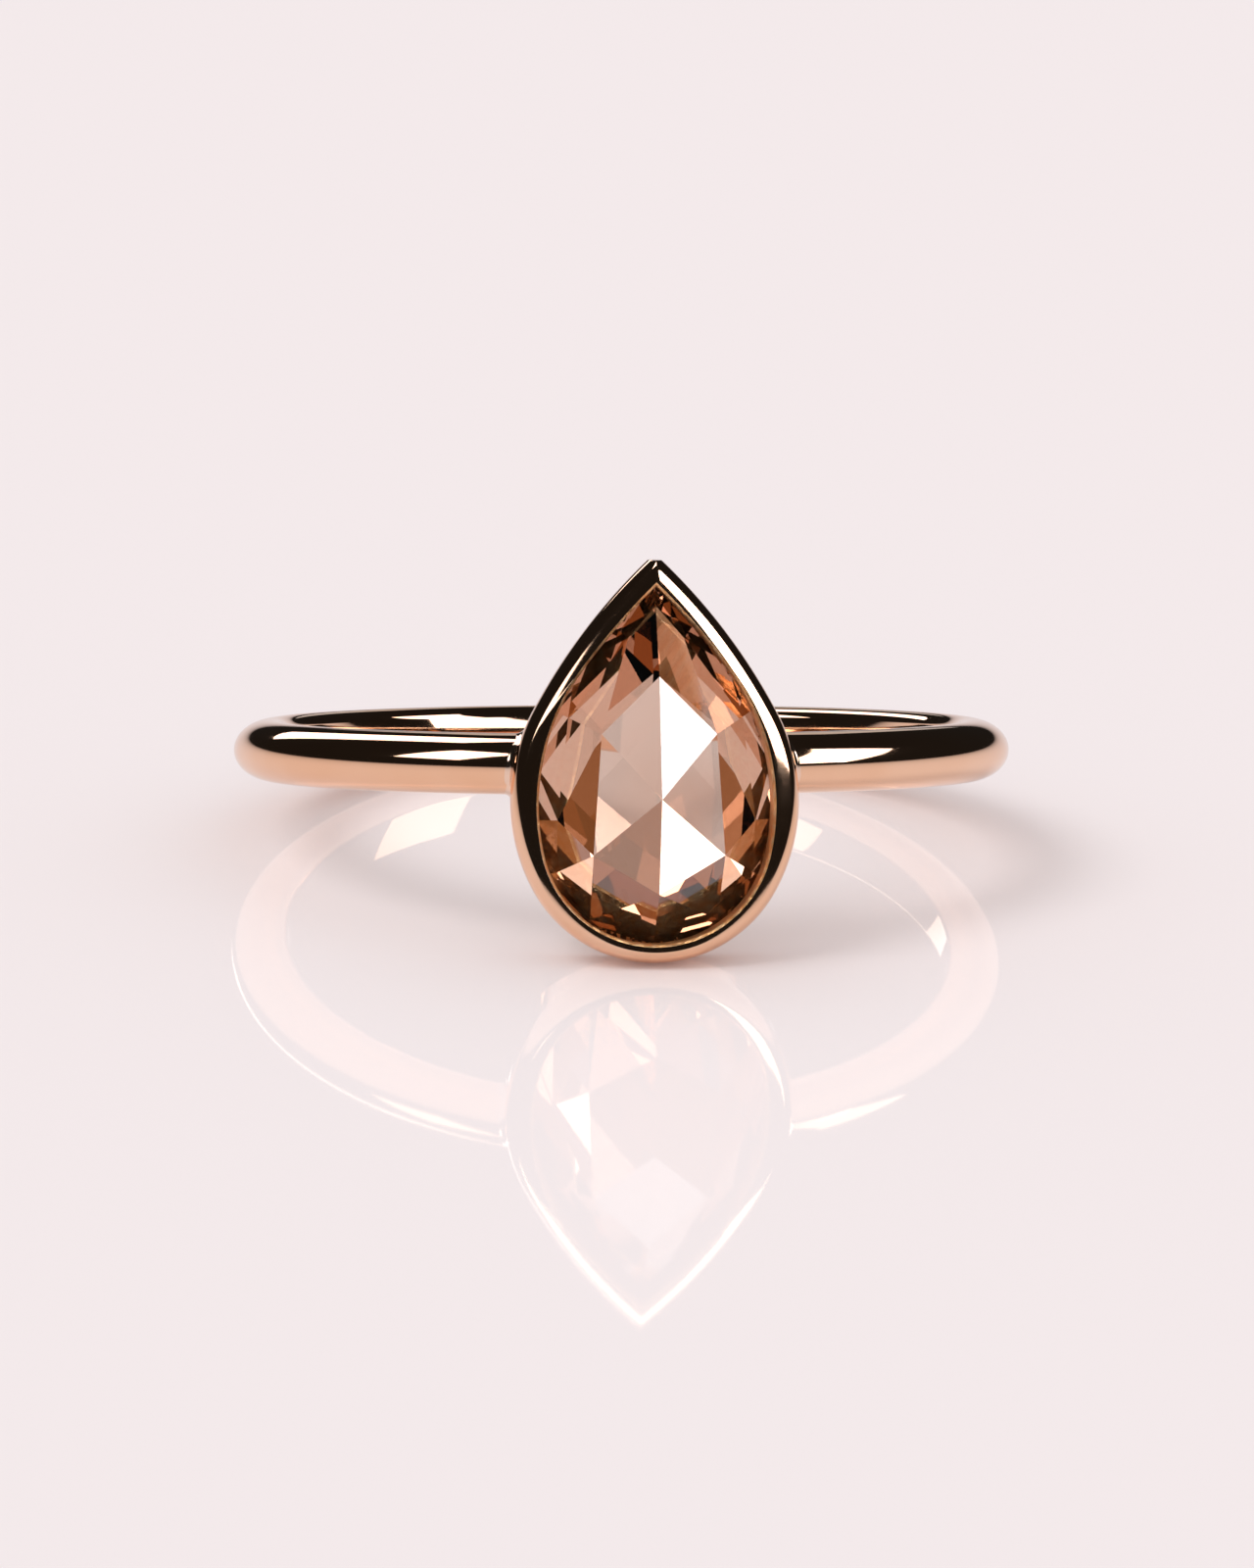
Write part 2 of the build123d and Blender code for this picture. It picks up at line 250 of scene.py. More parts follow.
bm = bmesh.new()
to_start = Matrix.Rotation(HOOP_GAP - pi / 2, 3, "Z")
bmesh.ops.rotate(bm, verts=section(bm), matrix=to_start)
bmesh.ops.spin(
    bm, geom=[*bm.verts, *bm.edges], axis=(0, 0, 1), angle=2 * pi - 2 * HOOP_GAP, steps=HOOP_STEPS
)
for side in (1, -1):
    rim = [edge for edge in bm.edges if edge.is_boundary and edge.verts[0].co.x * side > 0]
    for step in range(1, END_STEPS + 1):
        drawn = bmesh.ops.extrude_edge_only(bm, edges=rim)["geom"]
        rim = [
            item for item in drawn if isinstance(item, bmesh.types.BMEdge)
            and all(vert in drawn for vert in item.verts) and item.is_boundary
        ]
        for vert in {vert for edge in rim for vert in edge.verts}:
            radius, share = hypot(vert.co.x, vert.co.y), step / END_STEPS
            end = meeting_angle(radius, vert.co.z) - BURIED / radius
            stand(vert, radius, HOOP_GAP + share * (end - HOOP_GAP), side)
    bmesh.ops.contextual_create(bm, geom=rim)
shank = finish_piece(bm, "shank_wire", "shank", "rose_gold")

# %% [markdown]
# ## The bezel wall
# The real bezel is a strip bent to the pear, mitred at the tip, its rim filed to a dome and pushed
# down over the stone's edge. Its section changes all the way round, from thin at the foot to thick
# at the tip, so no single profile could be swept. Instead a stack of pear loops is laid out, those
# facing the stone on the stone's outline and the rest on the wall's, and each is bridged to the
# next.

# %% The underside and the stack of loops
RIM_OVERLAP, BRIGHT_CUT = 0.11, 0.06
STONE_DEPTH, GIRDLE, BELT_ANGLE = 1.25, 0.15, 66.0
SADDLE_CLEARANCE, SADDLE_RELIEF = 0.12, 0.12
SADDLE_SPAN = STONE_LENGTH / 2 + WALL_FOOT + WALL_TIP
DOME_STEPS, TUCK_STEPS, INSIDE_STEPS = 14, 8, 6
FIT = 0.01  # the gap between the stone's girdle and the wall
DOME_START = radians(7.0)  # how far the filed dome has already turned where the rim meets it
RIM_FALL_AT_FOOT, RIM_FALL_AT_SIDE = 0.004, 0.035


def rim_fall(z):
    """How far the rim falls away from the stone at this height. It is narrowest at the foot."""
    share = min(1.0, max(0.0, (z - STONE_FOOT) / (STONE_WIDTH / 2)))
    return RIM_FALL_AT_FOOT + (RIM_FALL_AT_SIDE - RIM_FALL_AT_FOOT) * share * (2 - share)


def saddle_radius(z):
    """How far the underside is from the hole's axis: it clears the finger and swells gently."""
    swell = (SADDLE_SPAN**2 + SADDLE_RELIEF**2) / (2 * SADDLE_RELIEF)
    return HOLE_RADIUS + SADDLE_CLEARANCE + swell - sqrt(swell**2 - z**2)


def onto_saddle(edges, share=1.0):
    """Moves a loop this share of the way down to the underside, which follows the finger."""
    for vert in {vert for edge in edges for vert in edge.verts}:
        bottom = -sqrt(saddle_radius(vert.co.z) ** 2 - vert.co.x**2)
        vert.co.y += share * (bottom - vert.co.y)
    return edges


def bridge(bm, loops):
    """Fills the gap between each loop and the next."""
    for first, second in zip(loops, loops[1:]):
        bmesh.ops.bridge_loops(bm, edges=first + second)


bm = bmesh.new()
lip_foot = STONE_DEPTH - RIM_OVERLAP * tan(radians(BELT_ANGLE))
loops = [STONE.loop(bm, -RIM_OVERLAP, lip_foot), STONE.loop(bm, -RIM_OVERLAP, BRIGHT_CUT)]
loops.append(STONE.loop(bm, BRIGHT_CUT - RIM_OVERLAP, 0.0))
for step in range(DOME_STEPS + 1):
    share = step / DOME_STEPS
    turn = DOME_START + (pi / 2 - DOME_START) * share
    dome = WALL.loop(bm, DOME_WIDTH * (sin(turn) - 1), DOME_DEPTH * (1 - cos(turn)))
    for vert in {vert for edge in dome for vert in edge.verts}:
        vert.co.y += rim_fall(vert.co.z) * (1 - share)
    loops.append(dome)
for step in range(1, TUCK_STEPS + 1):
    turn = pi / 2 * step / TUCK_STEPS
    loops.append(WALL.loop(bm, TUCK_WIDTH * (cos(turn) - 1), DOME_DEPTH + TUCK_DEPTH * sin(turn)))
loops.append(onto_saddle(WALL.loop(bm, -TUCK_WIDTH, DOME_DEPTH + TUCK_DEPTH)))
for step in range(INSIDE_STEPS, -1, -1):
    loops.append(onto_saddle(STONE.loop(bm, FIT, STONE_DEPTH), step / INSIDE_STEPS))
loops.append(STONE.loop(bm, -RIM_OVERLAP, lip_foot))
bridge(bm, loops)
bmesh.ops.remove_doubles(bm, verts=bm.verts, dist=MERGE)
print("the wall is bridged over", len(loops), "loops")

# %% [markdown]
# A filed rim is never truly flat: it falls away from the stone, at first hardly at all. Cuts across
# the rim are moved from a straight fall to a rounded one, and a reflection then glides over it.

# %% Crown the rim
RIM_TILT, RIM_CUTS = 0.3, 4  # how steeply the rim starts to fall, against the straight fall


def rim_share(vert):
    """How far out across the rim a point is, from 0 beside the stone to 1 where the dome starts."""
    return (vert.co.y + RIM) / (rim_fall(vert.co.z) + DOME_DEPTH * (1 - cos(DOME_START)))


def crosses_rim(edge):
    return sorted(round(rim_share(vert), 3) for vert in edge.verts) == [0, 1]


rungs = [edge for edge in bm.edges if crosses_rim(edge)]
cuts = bmesh.ops.subdivide_edges(bm, edges=rungs, cuts=RIM_CUTS)["geom_inner"]
for vert in (item for item in cuts if isinstance(item, bmesh.types.BMVert)):
    share = rim_share(vert)
    vert.co.y += (vert.co.y + RIM) * (1 - RIM_TILT) * (share - 1)
print("rim crowned over", len(rungs), "places")

# %% [markdown]
# The two sides of the strip meet at the tip in a mitre. Its point would catch on everything, so a
# jeweller files it to a narrow flat and breaks the sharp edges with a burnisher.

# %% File the tip and soften the edges
TIP_FLAT = 0.16
EDGE_BREAK = 0.035
WALL_CREASE, BOX_CREASE = 32.0, 60.0  # edges sharper than this many degrees are broken
HEART = 4.0  # a point in the middle of the pear is this far above the stone's foot
FACES_STONE = 0.3  # a face that looks inwards by more than this shows the graver's cuts


def break_edges(bm, crease, width):
    bmesh.ops.recalc_face_normals(bm, faces=bm.faces)
    sharp = [edge for edge in bm.edges if edge.calc_face_angle(0.0) > radians(crease)]
    bmesh.ops.bevel(
        bm, geom=sharp, offset=width, segments=2, profile=0.5, affect="EDGES", material=-1,
        clamp_overlap=True,
    )


cut = bmesh.ops.bisect_plane(
    bm, geom=[*bm.verts, *bm.edges, *bm.faces], dist=TINY,
    plane_co=(0, 0, WALL.tip() - TIP_FLAT), plane_no=(0, 0, 1), clear_outer=True,
)
edges = [item for item in cut["geom_cut"] if isinstance(item, bmesh.types.BMEdge)]
bmesh.ops.contextual_create(bm, geom=edges)
break_edges(bm, WALL_CREASE, EDGE_BREAK)
for face in bm.faces:
    centre = face.calc_center_median()
    outwards = Vector((centre.x, centre.z - STONE_FOOT - HEART)).normalized()
    inward = -outwards.dot(Vector((face.normal.x, face.normal.z)))
    face.material_index = int(inward > FACES_STONE)
bezel = finish_piece(bm, "bezel_cup", "bezel_wall", "rose_gold")

# %% [markdown]
# ## The bearing strip
# A narrower strip soldered inside the wall carries the stone's flat base. A box section swept
# along the outline would do for its top, but its underside follows the finger as the wall's does.
# So it is four pear loops, two of them moved down to the underside, bridged into a closed ring.

# %% The bearing
BEARING_WIDTH = 0.55
bm = bmesh.new()
stone_base = STONE_DEPTH + GIRDLE
loops = [
    STONE.loop(bm, 0.0, stone_base),
    STONE.loop(bm, -BEARING_WIDTH, stone_base),
    onto_saddle(STONE.loop(bm, -BEARING_WIDTH, stone_base)),
    onto_saddle(STONE.loop(bm, 0.0, stone_base)),
    STONE.loop(bm, 0.0, stone_base),
]
bridge(bm, loops)
bmesh.ops.remove_doubles(bm, verts=bm.verts, dist=MERGE)
break_edges(bm, BOX_CREASE, EDGE_BREAK / 2)
bearing = finish_piece(bm, "bearing_ledge", "bearing_strip", "rose_gold_inside")

# %% [markdown]
# ## The stone
# A rose cut has a flat base and no table: a star of six facets over a ring of eighteen, and here a
# steep belt of facets down to the girdle. A cutter only ever grinds flats, so the stone is convex,
# and the convex hull of its corners is the stone itself. Drawing every facet by hand would say the
# same thing at ten times the length.

# %% The stone's corners and its hull
STAR_MIDDLE, STAR_DEPTH, STAR_HEIGHT = 0.4124, 2.05, 0.77
STAR_CORNERS = [(0.0, 0.329), (0.472, 0.174), (0.539, -0.154), (0.0, -0.26)]
CROWN_CORNERS = [
    ("foot", 0.0, 0.31), ("foot", 0.45, 0.2), ("foot", 0.85, 0.3), ("side", 0.17, 0.55),
    ("side", 0.74, 0.4), ("tip", 0.46, 0.49), ("tip", 1.0, 0.46),
]
EDGE_HEIGHT = STONE_DEPTH - RIM  # where the girdle starts, along Y
ONE_FACET, FACET_EDGE = 0.2, 0.1  # degrees between faces that are one facet, and that are two

bm = bmesh.new()
middle = STONE_FOOT + STAR_MIDDLE * STONE_LENGTH
belt_slope = tan(radians(BELT_ANGLE))
bm.verts.new((0.0, EDGE_HEIGHT - STAR_DEPTH - STAR_HEIGHT, middle))
for x, z in STAR_CORNERS:
    bm.verts.new((x * STONE_WIDTH / 2, EDGE_HEIGHT - STAR_DEPTH, middle + z * STONE_LENGTH))
for arc, share, inset in CROWN_CORNERS[:-1]:
    x, z = STONE.point(arc, share, inset)
    bm.verts.new((x, EDGE_HEIGHT - inset * belt_slope, z))
_, _, tip_inset = CROWN_CORNERS[-1]
bm.verts.new((0.0, EDGE_HEIGHT - tip_inset * belt_slope, STONE.tip(-tip_inset)))
for (arc, share, _), (next_arc, next_share, _) in zip(CROWN_CORNERS, CROWN_CORNERS[1:]):
    between = (share + next_share) / 2 if arc == next_arc else 1.0
    for place in (share, between):
        x, z = STONE.point(arc, place)
        for y in (EDGE_HEIGHT, EDGE_HEIGHT + GIRDLE):
            bm.verts.new((x, y, z))
for y in (EDGE_HEIGHT, EDGE_HEIGHT + GIRDLE):
    bm.verts.new((0.0, y, STONE.tip()))
bmesh.ops.mirror(bm, geom=list(bm.verts), axis="X", merge_dist=MERGE)
hull = bmesh.ops.convex_hull(bm, input=list(bm.verts))
bmesh.ops.dissolve_limit(bm, angle_limit=radians(ONE_FACET), verts=bm.verts, edges=bm.edges)
print("left out of the hull:", len(hull["geom_interior"]), "facets:", len(bm.faces))
stone = finish_piece(bm, "pear_stone", "stone", "stone", crease=FACET_EDGE)

# %% [markdown]
# ## The solder
# Solder runs into the corner between wire and wall and freezes as a small hollow fillet. Rings of
# the wire's own section, each a little larger and a little nearer the wall, follow a quarter circle
# from one surface round to the other. Bridging them gives a fillet that is tangent to both.

# %% The two fillets
FILLET, FILLET_STEPS = 0.2, 8
SINK = 0.012  # how far each edge of the fillet is buried
fillets = []
for side, word in ((1, "right"), (-1, "left")):
    bm = bmesh.new()
    rings = []
    for step in range(-1, FILLET_STEPS + 2):
        turn = pi / 2 * min(max(step, 0), FILLET_STEPS) / FILLET_STEPS
        away, swell = FILLET * (1 - sin(turn)), FILLET * (1 - cos(turn))
        if step < 0:
            away, swell = FILLET + SINK, -SINK
        if step > FILLET_STEPS:
            away = -BURIED
        ring = section(bm, swell)
        for vert in ring:
            radius = max(vert.co.x, HOLE_RADIUS + SINK)
            stand(vert, radius, meeting_angle(radius, vert.co.z) + away / radius, side)
        rings.append(list({edge for vert in ring for edge in vert.link_edges}))
    bridge(bm, rings)
    for ring in (rings[0], rings[-1]):
        bmesh.ops.contextual_create(bm, geom=ring)
    names = f"solder_fillet_{word}", f"solder_bead_{word}"
    fillets.append(finish_piece(bm, *names, "rose_gold_solder"))

# %% [markdown]
# ## Camera
# A long lens from not quite half a metre away, a little above the table and a little to the left.
# A Track To constraint could aim it. Its three axes are worked out instead, because it is also
# rolled by a degree about its own line of sight. The lamps are placed by directions too.

# %% Place the camera
AZIMUTH, ELEVATION, ROLL = -5.16, 15.34, 1.13
DISTANCE, LENS, SENSOR = 0.45, 414.6, 36.0
NEAREST, FURTHEST = 0.05, 20.0
AIM = Vector((0.00016, 0.0, -0.0009))


def direction(azimuth, elevation):
    """The way out from the ring, in degrees round from the stone's side and up from the floor."""
    a, e = radians(azimuth), radians(elevation)
    return Vector((sin(a) * cos(e), -cos(a) * cos(e), sin(e)))


back = direction(AZIMUTH, ELEVATION)
right = Vector((cos(radians(AZIMUTH)), sin(radians(AZIMUTH)), 0.0))
up = back.cross(right)
roll = radians(ROLL)
across, above = right * cos(roll) + up * sin(roll), up * cos(roll) - right * sin(roll)
turn = Matrix((across, above, back)).transposed().to_4x4()
camera_data = bpy.data.cameras.new("camera")
camera_data.lens, camera_data.sensor_width = LENS, SENSOR
camera_data.clip_start, camera_data.clip_end = NEAREST, FURTHEST
camera = bpy.data.objects.new("camera", camera_data)
bpy.context.scene.collection.objects.link(camera)
camera.matrix_world = Matrix.Translation(AIM + back * DISTANCE) @ turn
bpy.context.scene.camera = camera
print(f"camera at {DISTANCE} m, lens {LENS} mm")

# %% [markdown]
# ## Shader maths as Python
# Wiring nodes by hand hides what a finish does. The first small class wraps a node's output, so
# that an expression such as `1 - wear * 0.5` adds its own Math nodes. Every other node comes from
# one method, `node`, which takes the node's type, its settings and what its sockets get.

# %% A node's output
class Wire:
    """A node's output that takes part in Python arithmetic by adding Math nodes."""

    def __init__(self, recipe, socket):
        self.recipe, self.socket = recipe, socket

    def maths(self, operation, *values):
        settings = {"operation": operation}
        return self.recipe.node("ShaderNodeMath", settings, dict(enumerate(values)))

    def __add__(self, other):
        return self.maths("ADD", self, other)

    def __rsub__(self, other):
        return self.maths("SUBTRACT", other, self)

    def __mul__(self, other):
        return self.maths("MULTIPLY", self, other)

    def __rtruediv__(self, other):
        return self.maths("DIVIDE", other, self)

    def __pow__(self, other):
        return self.maths("POWER", self, other)

    __radd__, __rmul__ = __add__, __mul__

    def between(self, low, high):
        """0 below low, 1 above high and a smooth step from one to the other."""
        settings = {"interpolation_type": "SMOOTHSTEP"}
        return self.recipe.node("ShaderNodeMapRange", settings, {0: self, 1: low, 2: high})

# %% A recipe of nodes, and a finish made from one
class Recipe:
    """A node tree that is filled by calls."""

    def __init__(self, owner):
        owner.use_nodes = True
        self.tree = owner.node_tree

    def fill(self, node, sockets):
        for socket, value in sockets.items():
            if isinstance(value, Wire):
                self.tree.links.new(value.socket, node.inputs[socket])
            else:
                node.inputs[socket].default_value = value

    def node(self, kind, settings, sockets, output=0):
        node = self.tree.nodes.new(kind)
        for setting, value in settings.items():
            setattr(node, setting, value)
        self.fill(node, sockets)
        return Wire(self, node.outputs[output])

    def end(self, output, **sockets):
        self.fill(self.tree.nodes[output], sockets)

    def either(self, share, first, second):
        """One shader where share is 0 and another where it is 1."""
        return self.node("ShaderNodeMixShader", {}, {0: share, 1: first, 2: second})


class Finish(Recipe):
    """A material with one Principled shader."""

    def __init__(self, name, **constants):
        self.material = bpy.data.materials.new(name)
        super().__init__(self.material)
        self.place = self.node("ShaderNodeTexCoord", {}, {}, output="Object")
        self.set(**constants)

    def set(self, **sockets):
        sockets = {name.replace("_", " "): value for name, value in sockets.items()}
        self.fill(self.tree.nodes["Principled BSDF"], sockets)

    def noise(self, size, detail=2.0, place=None):
        """Mottling whose patches are about this many millimetres across."""
        sockets = {"Vector": place or self.place, "Scale": 1 / (size * MM), "Detail": detail}
        return self.node("ShaderNodeTexNoise", {}, sockets)

    def mix(self, share, first, second):
        """A colour between two, by a share that varies over the piece."""
        sockets = {0: share, 6: rgba(*first), 7: rgba(*second)}
        return self.node("ShaderNodeMix", {"data_type": "RGBA"}, sockets, output=2)

    def bump(self, height, depth):
        """Relief of this depth in millimetres."""
        sockets = {"Height": height, "Distance": depth * MM, "Strength": 1.0}
        return self.node("ShaderNodeBump", {}, sockets)

    def split(self, vector):
        """The vector's X, Y and Z."""
        parted = self.node("ShaderNodeSeparateXYZ", {}, {0: vector})
        return [Wire(self, output) for output in parted.socket.node.outputs]

    def on(self, *pieces):
        for piece in pieces:
            piece.data.materials.append(self.material)
        print(self.material.name, "on", [piece.name for piece in pieces])


def rgba(red, green, blue):
    return red, green, blue, 1.0

# %% [markdown]
# ## Polished rose gold
# Rose gold is gold with a fifth or a quarter of copper. A polished ring is a mirror, so nearly all
# of its look is what it reflects, and its own detail is fine: hairlines that the polishing mop left
# along the wire, a haze where a finger rubs it, and a colour that warms and cools by a shade. The
# hairlines must follow the hoop, so they read the angle round the finger hole and not X and Y.

# %% Coordinates that follow the hoop
def unroll(finish, stretch):
    """The distance from the hole's axis, and the hoop unrolled, its length squeezed by stretch."""
    sockets = {"Vector": finish.place, "Rotation": (LEAN, 0, 0)}
    upright = finish.node("ShaderNodeMapping", {"vector_type": "POINT"}, sockets)
    x, y, z = finish.split(upright)
    radius = (x * x + y * y) ** 0.5
    along = x.maths("ARCTAN2", x, y) * (HOLE_RADIUS * MM / stretch)
    return radius, finish.node("ShaderNodeCombineXYZ", {}, {0: along, 1: z, 2: radius})

# %% The polished gold of the wire and the wall
WARM_GOLD, PALE_GOLD = (0.93, 0.57, 0.37), (0.96, 0.63, 0.44)
WARMTH_SIZE, WARMTH_RANGE = 3.0, (0.35, 0.65)
HAIR_WIDTH, HAIR_DEPTH, HAIR_STRETCH = 0.07, 0.00015, 30.0
SMEAR_SIZE, SMEAR_SHARE, HAIR_SHARE = 0.9, 0.6, 0.4
MIRROR, HAZE, RUBBED_HAZE, RUBBED_DEPTH = 0.02, 0.05, 0.03, 0.35

gold = Finish("polished_rose_gold", Metallic=1.0)
radius, along = unroll(gold, HAIR_STRETCH)
hairs = gold.noise(HAIR_WIDTH, detail=3.0, place=along)
smear = gold.noise(SMEAR_SIZE, detail=4.0)
outermost = (HOLE_RADIUS + SHANK_THICKNESS) * MM
rubbed = radius.between(outermost - RUBBED_DEPTH * MM, outermost) * smear
warmth = gold.noise(WARMTH_SIZE).between(*WARMTH_RANGE)
gold.set(
    Base_Color=gold.mix(warmth, WARM_GOLD, PALE_GOLD),
    Roughness=MIRROR + HAZE * (smear * SMEAR_SHARE + hairs * HAIR_SHARE) + rubbed * RUBBED_HAZE,
    Normal=gold.bump(hairs, HAIR_DEPTH),
)
gold.on(shank, bezel)

# %% [markdown]
# ## Bright-cut gold
# Inside the rim the setter runs a graver round the wall. Its cuts are bright but never quite flat,
# and no mop reaches them, so they scatter a reflection into orange sparks. Cutting every stroke
# into the mesh would take thousands of faces, and bump gives the same sparks at this size.

# %% The cut gold about the stone
ORANGE_GOLD, YELLOW_GOLD, CUT_RANGE = (0.97, 0.50, 0.20), (0.99, 0.66, 0.36), (0.3, 0.7)
CHATTER_SIZE, CHATTER_DEPTH = 0.24, 0.07
CUT_HAZE, CUT_GRAIN, GRAIN_SIZE = 0.32, 0.2, 0.12

cut_gold = Finish("bright_cut_gold", Metallic=1.0)
chatter = cut_gold.noise(CHATTER_SIZE, detail=3.0)
cut_gold.set(
    Base_Color=cut_gold.mix(chatter.between(*CUT_RANGE), ORANGE_GOLD, YELLOW_GOLD),
    Roughness=CUT_HAZE + cut_gold.noise(GRAIN_SIZE) * CUT_GRAIN,
    Normal=cut_gold.bump(chatter, CHATTER_DEPTH),
)
cut_gold.on(bezel, bearing)

# %% [markdown]
# ## Solder
# Solder has more silver than the gold it joins, so it is a shade paler, and it freezes with a faint
# orange-peel skin in a corner that the mop can't reach. The wire's own gold would hide the joint,
# so the solder has a finish of its own.

# %% The solder
WARM_SOLDER, PALE_SOLDER, SOLDER_PATCH = (0.93, 0.66, 0.50), (0.95, 0.73, 0.59), 0.5
PEEL_SIZE, PEEL_DEPTH = 0.16, 0.002
SOLDER_HAZE, PEEL_HAZE = 0.07, 0.08

solder = Finish("silvery_solder", Metallic=1.0)
peel = solder.noise(PEEL_SIZE, detail=3.0)
solder.set(
    Base_Color=solder.mix(solder.noise(SOLDER_PATCH), WARM_SOLDER, PALE_SOLDER),
    Roughness=SOLDER_HAZE + peel * PEEL_HAZE,
    Normal=solder.bump(peel, PEEL_DEPTH),
)
solder.on(*fillets)

# %% [markdown]
# ## The stone
# A champagne diamond is nearly colourless where it is thin and warm where light has crossed it
# several times. A tinted surface can't do that. So the surface is clear glass with diamond's index,
# and an absorbing volume takes the blue out of each path by its length. The lap leaves a faint
# grain on the facets, far too shallow to blur them.

# %% The champagne stone
DIAMOND_INDEX, BODY_COLOUR, BODY_DENSITY = 2.42, (0.97, 0.68, 0.49), 270.0
TINTED, CLEAR, TINT_SIZE = (1.0, 0.96, 0.92), (1.0, 0.98, 0.95), 2.0
SMUDGE, SMUDGE_SIZE, SMUDGE_RANGE = 0.02, 0.4, (0.55, 0.9)
LAP_SIZE, LAP_DEPTH = 0.05, 0.00002

gem = Finish("champagne_stone", Transmission_Weight=1.0, IOR=DIAMOND_INDEX)
gem.set(
    Base_Color=gem.mix(gem.noise(TINT_SIZE), TINTED, CLEAR),
    Roughness=gem.noise(SMUDGE_SIZE).between(*SMUDGE_RANGE) * SMUDGE,
    Normal=gem.bump(gem.noise(LAP_SIZE), LAP_DEPTH),
)
body = {"Color": rgba(*BODY_COLOUR), "Density": BODY_DENSITY}
gem.end("Material Output", Volume=gem.node("ShaderNodeVolumeAbsorption", {}, body))
gem.on(stone)

# %% [markdown]
# ## The floor
# The ring stands on a sheet of glossy white acrylic: a matt white with a clear skin. The skin's
# reflection is added to the white, so the ring's mirror image comes out paler than the sheet. A
# Principled shader with a coat would do nearly as much. Simple shaders are mixed by hand instead,
# because the gold is to reflect the sheet as a pool of light, bright near the ring and dim further
# off, and a faint glow stands for the light that comes up through the sheet.

# %% The acrylic sheet
SHEET_SIZE, SHEET_COLOUR, SHEET_SHINE, SKIN_HAZE = 3.0, (0.93, 0.865, 0.87), 0.13, 0.03
POOL_RADIUS, POOL_EDGE = 85.0, 1.3
GLOW = (0.10, 0.078, 0.075)
BLACK, WHITE = (0.0, 0.0, 0.0), (1.0, 1.0, 1.0)
bm = bmesh.new()
bmesh.ops.create_grid(bm, x_segments=1, y_segments=1, size=SHEET_SIZE)
bmesh.ops.translate(bm, vec=(0, 0, TABLE), verts=bm.verts)
mesh = bpy.data.meshes.new("floor")
bm.to_mesh(mesh)
bm.free()
floor = bpy.data.objects.new("floor", mesh)
bpy.context.scene.collection.objects.link(floor)

acrylic = Finish("white_acrylic")
x, y, _ = acrylic.split(acrylic.place)
lit = 1 / (1 + ((x * x + y * y) ** 0.5 * (1 / (POOL_RADIUS * MM))) ** POOL_EDGE)
reflected = acrylic.node("ShaderNodeLightPath", {}, {}, output="Is Glossy Ray")
white = acrylic.node("ShaderNodeBsdfDiffuse", {}, {"Color": rgba(*SHEET_COLOUR)})
glow = acrylic.node("ShaderNodeEmission", {}, {"Color": rgba(*GLOW), "Strength": 1.0})
sheet = acrylic.node("ShaderNodeAddShader", {}, {0: white, 1: glow})
unlit = acrylic.node("ShaderNodeBsdfDiffuse", {}, {"Color": rgba(*BLACK)})
skin = acrylic.node("ShaderNodeBsdfGlossy", {}, {"Color": rgba(*WHITE), "Roughness": SKIN_HAZE})
pool = acrylic.either(reflected * (1 - lit), sheet, unlit)
acrylic.end("Material Output", Surface=acrylic.either(SHEET_SHINE, pool, skin))
acrylic.on(floor)

# %% [markdown]
# ## The room
# Polished metal is shown in a dark room, because the gold then has black between its highlights. A
# matt sheet needs the opposite, an even light from all round. One colour can't do both, so the
# world has four and picks one by the kind of ray: the sheet gets an even light, the gold almost
# none, and the stone a little that is warm, as the gold round a real stone gives it.

# %% The room
ROOM = {
    "fill": (0.806, 0.801, 0.808),
    "seen": (0.888, 0.814, 0.823),
    "dark": (0.012, 0.011, 0.01),
    "through": (0.32, 0.15, 0.06),
}
world = bpy.data.worlds.new("studio")
bpy.context.scene.world = world
room = Recipe(world)
light = {
    name: room.node("ShaderNodeBackground", {}, {"Color": rgba(*colour)})
    for name, colour in ROOM.items()
}
shade = light["dark"]
for path, name in (("Transmission", "through"), ("Diffuse", "fill"), ("Camera", "seen")):
    is_path = room.node("ShaderNodeLightPath", {}, {}, output=f"Is {path} Ray")
    shade = room.either(is_path, shade, light[name])
room.end("World Output", Surface=shade)
bpy.context.scene.view_settings.view_transform = "Standard"
print("room:", sorted(light))

# %% [markdown]
# ## The softboxes
# Each softbox is an area light that faces the ring, placed by the direction the ring sees it in and
# by how many degrees it fills. Glowing cards would reflect just as well, but they light everything.
# Polished metal is lit by placing reflections, one at a time, and a studio flags each box off
# whatever it shouldn't show in. Light linking does the flagging.

# %% Which pieces a box may light
def lit_set(name, *pieces):
    chosen = bpy.data.collections.new(name)
    for piece in pieces:
        chosen.objects.link(piece)
    return chosen


METAL = lit_set("lit_metal", shank, bezel, bearing, *fillets)
WIRE = lit_set("lit_wire", shank, *fillets)
WALLS = lit_set("lit_walls", bezel, bearing)
GEM = lit_set("lit_gem", stone)

# %% The boxes
BOX_DISTANCE = 0.4


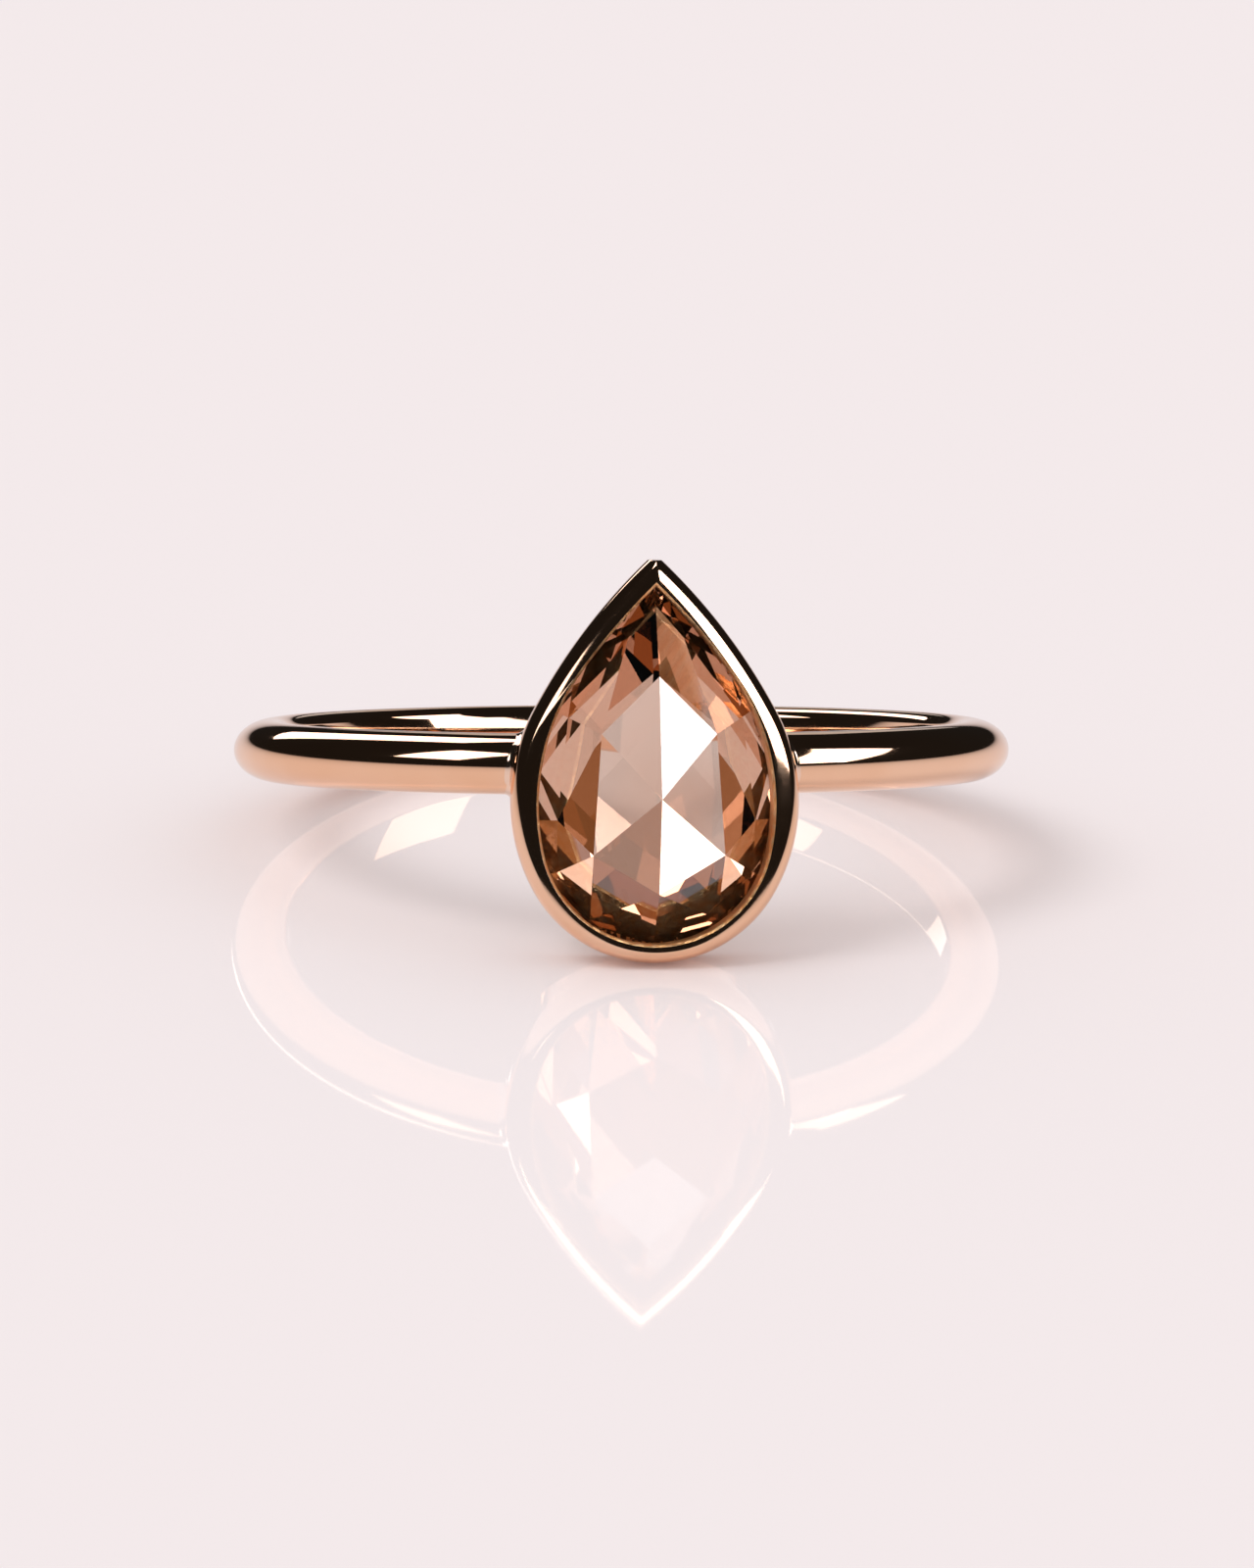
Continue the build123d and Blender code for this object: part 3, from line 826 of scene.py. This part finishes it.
def softbox(name, azimuth, elevation, width, height, brightness, lights, roll=0.0):
    """A box this many degrees wide and high, which lights only some pieces."""
    away = direction(azimuth, elevation)
    lamp = bpy.data.lights.new(name, "AREA")
    lamp.shape = "RECTANGLE"
    lamp.size, lamp.size_y = (
        2 * BOX_DISTANCE * tan(radians(angle / 2)) for angle in (width, height)
    )
    lamp.energy = brightness * pi * lamp.size * lamp.size_y
    box = bpy.data.objects.new(name, lamp)
    turn = away.to_track_quat("Z", "Y").to_matrix().to_4x4()
    spun = Matrix.Rotation(radians(roll), 4, "Z")
    box.matrix_world = Matrix.Translation(away * BOX_DISTANCE) @ (turn @ spun)
    box.visible_camera = False
    box.light_linking.receiver_collection = lights
    bpy.context.scene.collection.objects.link(box)


softbox("back_strip", -162, 33, 16, 42, 3.0, METAL)
softbox("back_glow", 174, 11, 12, 18, 0.5, METAL)
softbox("back_of_stone", -162, 28, 36, 46, 3.0, GEM)
softbox("front_of_stone", 28, 26, 42, 20, 5.0, GEM)
softbox("front_of_wall", 33, 24, 30, 22, 5.0, WALLS)
softbox("left_of_wall", -25, 23.5, 10, 6, 3.0, WALLS)
softbox("over_stone", 0, 72, 60, 30, 1.2, GEM)
softbox("over_wall", 0, 72, 60, 30, 6.0, WALLS)
softbox("front_of_wire", 47, 13, 38, 9, 3.0, WIRE)
softbox("left_of_wire", -72, 41, 24, 32, 3.0, WIRE)
softbox("right_of_wire", 76, 31, 48, 24, 3.0, WIRE, roll=38.0)
print(len(bpy.data.lights), "softboxes")

# %% [markdown]
# ## The key light
# One broad light from the left gives the ring a soft shadow on the sheet. A softbox would do near
# the ring, but its light falls off, and the sheet would darken towards the horizon. A sun light is
# even everywhere, and its breadth keeps the shadow soft. It is hidden from reflections, which would
# show it as a round spot.

# %% Place the key light
KEY_FROM, KEY_BREADTH, KEY_STRENGTH = (-65, 52), 30.0, 0.8
key_lamp = bpy.data.lights.new("key", "SUN")
key_lamp.energy, key_lamp.angle = KEY_STRENGTH, radians(KEY_BREADTH)
key = bpy.data.objects.new("key", key_lamp)
key.rotation_euler = direction(*KEY_FROM).to_track_quat("Z", "Y").to_euler()
key.visible_glossy = False
bpy.context.scene.collection.objects.link(key)
print("lights:", sorted(lamp.name for lamp in bpy.data.lights))
